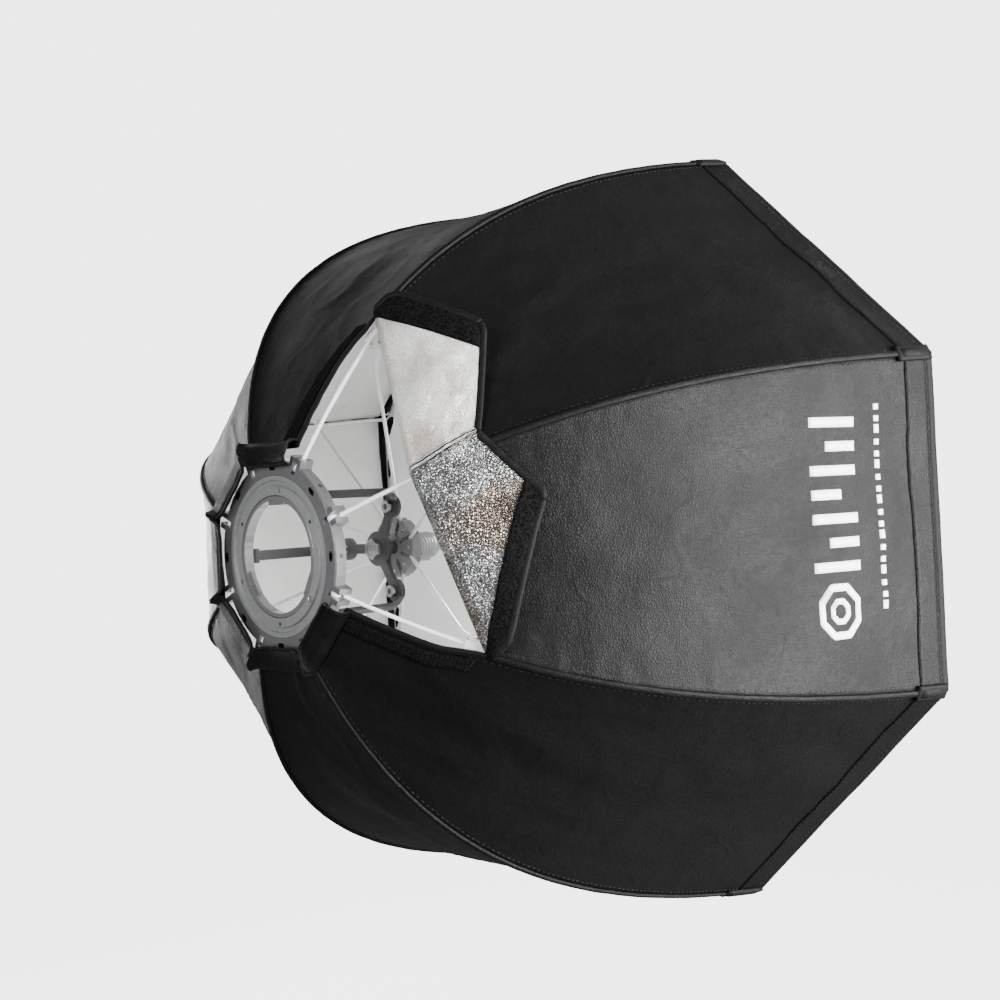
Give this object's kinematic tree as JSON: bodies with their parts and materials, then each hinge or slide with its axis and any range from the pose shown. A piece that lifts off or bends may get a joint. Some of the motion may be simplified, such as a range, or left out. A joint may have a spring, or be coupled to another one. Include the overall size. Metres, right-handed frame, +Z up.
{
  "type": "studio softbox",
  "caption": "Octagonal studio softbox on an umbrella frame: speedring, hinged ribs with struts and a sliding runner, black fabric hood, folded-back access flap and front diffuser.",
  "frame": {"origin": "centre of the speedring's rear mounting face", "axes": "+Y back along the axis towards the strobe, -Y out towards the light, +Z up, -X the side with the access flap"},
  "size_m": [0.7392, 0.4641, 0.7392],
  "materials": {
    "hood_fabric": "fine leather-grain coated cloth",
    "flap_lining": "silvered lining",
    "diffuser_cloth": "thin white cloth",
    "rod_white": "white paint",
    "ring_silver": "satin cast",
    "cast_silver": "satin cast",
    "bright_steel": "bright",
    "spider_grey": "grey paint",
    "runner_grey": "moulded",
    "black_plastic": "moulded"
  },
  "bodies": {
    "speedring": {"hinge_ring": "ring_silver", "adapter_plate": "cast_silver", "bayonet_insert": "bright_steel", "spider": "spider_grey", "centre_shaft": "bright_steel", "shaft_nut": "bright_steel", "shaft_end_stop": "black_plastic", "leg_bolt_1": "bright_steel", "leg_bolt_2": "bright_steel", "leg_bolt_3": "bright_steel"},
    "runner": {"runner_hub": "runner_grey", "runner_collar": "runner_grey", "runner_grip": "cast_silver"},
    "button": {"release_button": "bright_steel"},
    "rib_1": {"rib_inner_1": "rod_white", "rib_clip_1": "rod_white"},
    "tip_1": {"rib_outer_1": "rod_white"},
    "strut_1": {"strut_1": "rod_white"},
    "rib_2": {"rib_inner_2": "rod_white", "rib_clip_2": "rod_white"},
    "tip_2": {"rib_outer_2": "rod_white"},
    "strut_2": {"strut_2": "rod_white"},
    "rib_3": {"rib_inner_3": "rod_white", "rib_clip_3": "rod_white"},
    "tip_3": {"rib_outer_3": "rod_white"},
    "strut_3": {"strut_3": "rod_white"},
    "rib_4": {"rib_inner_4": "rod_white", "rib_clip_4": "rod_white"},
    "tip_4": {"rib_outer_4": "rod_white"},
    "strut_4": {"strut_4": "rod_white"},
    "rib_5": {"rib_inner_5": "rod_white", "rib_clip_5": "rod_white"},
    "tip_5": {"rib_outer_5": "rod_white"},
    "strut_5": {"strut_5": "rod_white"},
    "rib_6": {"rib_inner_6": "rod_white", "rib_clip_6": "rod_white"},
    "tip_6": {"rib_outer_6": "rod_white"},
    "strut_6": {"strut_6": "rod_white"},
    "rib_7": {"rib_inner_7": "rod_white", "rib_clip_7": "rod_white"},
    "tip_7": {"rib_outer_7": "rod_white"},
    "strut_7": {"strut_7": "rod_white"},
    "rib_8": {"rib_inner_8": "rod_white", "rib_clip_8": "rod_white"},
    "tip_8": {"rib_outer_8": "rod_white"},
    "strut_8": {"strut_8": "rod_white"},
    "panel_1": {"panel_1": "hood_fabric"},
    "panel_2": {"panel_2": "hood_fabric"},
    "panel_3": {"panel_3": "hood_fabric"},
    "panel_4": {"panel_4": "hood_fabric"},
    "panel_5": {"panel_5": "hood_fabric"},
    "panel_6": {"panel_6": "hood_fabric"},
    "panel_7": {"panel_7": "hood_fabric"},
    "panel_8": {"panel_8": "hood_fabric"},
    "diffuser": {"front_diffuser": "diffuser_cloth"},
    "flap_side": {"flap_side": "flap_lining"},
    "flap_upper": {"flap_upper": "flap_lining"}
  },
  "joints": [
    {"name": "runner_slide", "type": "slide", "parent": "speedring", "child": "runner", "axis": [0, -1, 0], "range_m": [0, 0.1734]},
    {"name": "button_press", "type": "slide", "parent": "runner", "child": "button", "axis": [0, 0, 1], "range_m": [0, 0.0015], "stiffness_N_per_m": 400},
    {"name": "rib_hinge_1", "type": "hinge", "parent": "speedring", "child": "rib_1", "pos_m": [-0.07391, -0.006, 0.03061], "axis": [0.3827, 0, 0.9239], "range_deg": [-0.5, 58.5]},
    {"name": "rib_flex_1", "type": "hinge", "parent": "rib_1", "child": "tip_1", "pos_m": [-0.20035, -0.06891, 0.08299], "axis": [-0.3827, 0, -0.9239], "range_deg": [-0.5, 26.5]},
    {"name": "strut_hinge_1", "type": "hinge", "parent": "rib_1", "child": "strut_1", "pos_m": [-0.18065, -0.06229, 0.07483], "axis": [-0.3827, 0, -0.9239], "range_deg": [-0.5, 103.67]},
    {"name": "rib_hinge_2", "type": "hinge", "parent": "speedring", "child": "rib_2", "pos_m": [-0.03061, -0.006, 0.07391], "axis": [0.9239, 0, 0.3827], "range_deg": [-0.5, 58.5]},
    {"name": "rib_flex_2", "type": "hinge", "parent": "rib_2", "child": "tip_2", "pos_m": [-0.08299, -0.06891, 0.20035], "axis": [-0.9239, 0, -0.3827], "range_deg": [-0.5, 26.5]},
    {"name": "strut_hinge_2", "type": "hinge", "parent": "rib_2", "child": "strut_2", "pos_m": [-0.07483, -0.06229, 0.18065], "axis": [-0.9239, 0, -0.3827], "range_deg": [-0.5, 103.67]},
    {"name": "rib_hinge_3", "type": "hinge", "parent": "speedring", "child": "rib_3", "pos_m": [0.03061, -0.006, 0.07391], "axis": [0.9239, 0, -0.3827], "range_deg": [-0.5, 58.5]},
    {"name": "rib_flex_3", "type": "hinge", "parent": "rib_3", "child": "tip_3", "pos_m": [0.08299, -0.06891, 0.20035], "axis": [-0.9239, 0, 0.3827], "range_deg": [-0.5, 26.5]},
    {"name": "strut_hinge_3", "type": "hinge", "parent": "rib_3", "child": "strut_3", "pos_m": [0.07483, -0.06229, 0.18065], "axis": [-0.9239, 0, 0.3827], "range_deg": [-0.5, 103.67]},
    {"name": "rib_hinge_4", "type": "hinge", "parent": "speedring", "child": "rib_4", "pos_m": [0.07391, -0.006, 0.03061], "axis": [0.3827, 0, -0.9239], "range_deg": [-0.5, 58.5]},
    {"name": "rib_flex_4", "type": "hinge", "parent": "rib_4", "child": "tip_4", "pos_m": [0.20035, -0.06891, 0.08299], "axis": [-0.3827, 0, 0.9239], "range_deg": [-0.5, 26.5]},
    {"name": "strut_hinge_4", "type": "hinge", "parent": "rib_4", "child": "strut_4", "pos_m": [0.18065, -0.06229, 0.07483], "axis": [-0.3827, 0, 0.9239], "range_deg": [-0.5, 103.67]},
    {"name": "rib_hinge_5", "type": "hinge", "parent": "speedring", "child": "rib_5", "pos_m": [0.07391, -0.006, -0.03061], "axis": [-0.3827, 0, -0.9239], "range_deg": [-0.5, 58.5]},
    {"name": "rib_flex_5", "type": "hinge", "parent": "rib_5", "child": "tip_5", "pos_m": [0.20035, -0.06891, -0.08299], "axis": [0.3827, 0, 0.9239], "range_deg": [-0.5, 26.5]},
    {"name": "strut_hinge_5", "type": "hinge", "parent": "rib_5", "child": "strut_5", "pos_m": [0.18065, -0.06229, -0.07483], "axis": [0.3827, 0, 0.9239], "range_deg": [-0.5, 103.67]},
    {"name": "rib_hinge_6", "type": "hinge", "parent": "speedring", "child": "rib_6", "pos_m": [0.03061, -0.006, -0.07391], "axis": [-0.9239, 0, -0.3827], "range_deg": [-0.5, 58.5]},
    {"name": "rib_flex_6", "type": "hinge", "parent": "rib_6", "child": "tip_6", "pos_m": [0.08299, -0.06891, -0.20035], "axis": [0.9239, 0, 0.3827], "range_deg": [-0.5, 26.5]},
    {"name": "strut_hinge_6", "type": "hinge", "parent": "rib_6", "child": "strut_6", "pos_m": [0.07483, -0.06229, -0.18065], "axis": [0.9239, 0, 0.3827], "range_deg": [-0.5, 103.67]},
    {"name": "rib_hinge_7", "type": "hinge", "parent": "speedring", "child": "rib_7", "pos_m": [-0.03061, -0.006, -0.07391], "axis": [-0.9239, 0, 0.3827], "range_deg": [-0.5, 58.5]},
    {"name": "rib_flex_7", "type": "hinge", "parent": "rib_7", "child": "tip_7", "pos_m": [-0.08299, -0.06891, -0.20035], "axis": [0.9239, 0, -0.3827], "range_deg": [-0.5, 26.5]},
    {"name": "strut_hinge_7", "type": "hinge", "parent": "rib_7", "child": "strut_7", "pos_m": [-0.07483, -0.06229, -0.18065], "axis": [0.9239, 0, -0.3827], "range_deg": [-0.5, 103.67]},
    {"name": "rib_hinge_8", "type": "hinge", "parent": "speedring", "child": "rib_8", "pos_m": [-0.07391, -0.006, -0.03061], "axis": [-0.3827, 0, 0.9239], "range_deg": [-0.5, 58.5]},
    {"name": "rib_flex_8", "type": "hinge", "parent": "rib_8", "child": "tip_8", "pos_m": [-0.20035, -0.06891, -0.08299], "axis": [0.3827, 0, -0.9239], "range_deg": [-0.5, 26.5]},
    {"name": "strut_hinge_8", "type": "hinge", "parent": "rib_8", "child": "strut_8", "pos_m": [-0.18065, -0.06229, -0.07483], "axis": [0.3827, 0, -0.9239], "range_deg": [-0.5, 103.67]},
    {"name": "panel_fold_1", "type": "hinge", "parent": "speedring", "child": "panel_1", "pos_m": [-0.05226, -0.006, 0.05226], "axis": [0.7071, 0, 0.7071], "range_deg": [-0.5, 22.5], "deforming": ["panel_1"]},
    {"name": "panel_fold_2", "type": "hinge", "parent": "speedring", "child": "panel_2", "pos_m": [0, -0.006, 0.07391], "axis": [1, 0, 0], "range_deg": [-0.5, 22.5], "deforming": ["panel_2"]},
    {"name": "panel_fold_3", "type": "hinge", "parent": "speedring", "child": "panel_3", "pos_m": [0.05226, -0.006, 0.05226], "axis": [0.7071, 0, -0.7071], "range_deg": [-0.5, 22.5], "deforming": ["panel_3"]},
    {"name": "panel_fold_4", "type": "hinge", "parent": "speedring", "child": "panel_4", "pos_m": [0.07391, -0.006, 0], "axis": [0, 0, -1], "range_deg": [-0.5, 22.5], "deforming": ["panel_4"]},
    {"name": "panel_fold_5", "type": "hinge", "parent": "speedring", "child": "panel_5", "pos_m": [0.05226, -0.006, -0.05226], "axis": [-0.7071, 0, -0.7071], "range_deg": [-0.5, 22.5], "deforming": ["panel_5"]},
    {"name": "panel_fold_6", "type": "hinge", "parent": "speedring", "child": "panel_6", "pos_m": [0, -0.006, -0.07391], "axis": [-1, 0, 0], "range_deg": [-0.5, 22.5], "deforming": ["panel_6"]},
    {"name": "panel_fold_7", "type": "hinge", "parent": "speedring", "child": "panel_7", "pos_m": [-0.05226, -0.006, -0.05226], "axis": [-0.7071, 0, 0.7071], "range_deg": [-0.5, 22.5], "deforming": ["panel_7"]},
    {"name": "panel_fold_8", "type": "hinge", "parent": "speedring", "child": "panel_8", "pos_m": [-0.07391, -0.006, 0], "axis": [0, 0, 1], "range_deg": [-0.5, 22.5], "deforming": ["panel_8"]},
    {"name": "diffuser_slide", "type": "slide", "parent": "speedring", "child": "diffuser", "axis": [0, -1, 0], "range_m": [-0.002, 0.092], "deforming": ["front_diffuser"]},
    {"name": "flap_side_fold", "type": "hinge", "parent": "panel_8", "child": "flap_side", "pos_m": [-0.19771, -0.05439, -0.08189], "axis": [-0.3021, -0.1842, -0.9353], "range_deg": [0, 158], "deforming": ["flap_side"]},
    {"name": "flap_upper_fold", "type": "hinge", "parent": "panel_1", "child": "flap_upper", "pos_m": [-0.08189, -0.05439, 0.19771], "axis": [-0.4478, 0.1842, -0.875], "range_deg": [-0.5, 158.5], "deforming": ["flap_upper"]}
  ],
  "couplings": [
    {"joint": "rib_hinge_1", "follows": "runner_slide", "rad_per_m": 5.8379},
    {"joint": "rib_flex_1", "follows": "runner_slide", "rad_per_m": 2.617},
    {"joint": "strut_hinge_1", "follows": "runner_slide", "rad_per_m": 10.384},
    {"joint": "rib_hinge_2", "follows": "runner_slide", "rad_per_m": 5.8379},
    {"joint": "rib_flex_2", "follows": "runner_slide", "rad_per_m": 2.617},
    {"joint": "strut_hinge_2", "follows": "runner_slide", "rad_per_m": 10.384},
    {"joint": "rib_hinge_3", "follows": "runner_slide", "rad_per_m": 5.8379},
    {"joint": "rib_flex_3", "follows": "runner_slide", "rad_per_m": 2.617},
    {"joint": "strut_hinge_3", "follows": "runner_slide", "rad_per_m": 10.384},
    {"joint": "rib_hinge_4", "follows": "runner_slide", "rad_per_m": 5.8379},
    {"joint": "rib_flex_4", "follows": "runner_slide", "rad_per_m": 2.617},
    {"joint": "strut_hinge_4", "follows": "runner_slide", "rad_per_m": 10.384},
    {"joint": "rib_hinge_5", "follows": "runner_slide", "rad_per_m": 5.8379},
    {"joint": "rib_flex_5", "follows": "runner_slide", "rad_per_m": 2.617},
    {"joint": "strut_hinge_5", "follows": "runner_slide", "rad_per_m": 10.384},
    {"joint": "rib_hinge_6", "follows": "runner_slide", "rad_per_m": 5.8379},
    {"joint": "rib_flex_6", "follows": "runner_slide", "rad_per_m": 2.617},
    {"joint": "strut_hinge_6", "follows": "runner_slide", "rad_per_m": 10.384},
    {"joint": "rib_hinge_7", "follows": "runner_slide", "rad_per_m": 5.8379},
    {"joint": "rib_flex_7", "follows": "runner_slide", "rad_per_m": 2.617},
    {"joint": "strut_hinge_7", "follows": "runner_slide", "rad_per_m": 10.384},
    {"joint": "rib_hinge_8", "follows": "runner_slide", "rad_per_m": 5.8379},
    {"joint": "rib_flex_8", "follows": "runner_slide", "rad_per_m": 2.617},
    {"joint": "strut_hinge_8", "follows": "runner_slide", "rad_per_m": 10.384},
    {"joint": "panel_fold_1", "follows": "runner_slide", "rad_per_m": 2.2144},
    {"joint": "panel_fold_2", "follows": "runner_slide", "rad_per_m": 2.2144},
    {"joint": "panel_fold_3", "follows": "runner_slide", "rad_per_m": 2.2144},
    {"joint": "panel_fold_4", "follows": "runner_slide", "rad_per_m": 2.2144},
    {"joint": "panel_fold_5", "follows": "runner_slide", "rad_per_m": 2.2144},
    {"joint": "panel_fold_6", "follows": "runner_slide", "rad_per_m": 2.2144},
    {"joint": "panel_fold_7", "follows": "runner_slide", "rad_per_m": 2.2144},
    {"joint": "panel_fold_8", "follows": "runner_slide", "rad_per_m": 2.2144},
    {"joint": "diffuser_slide", "follows": "runner_slide", "ratio": 0.51903},
    {"joint": "flap_upper_fold", "follows": "flap_side_fold", "ratio": 1}
  ]
}
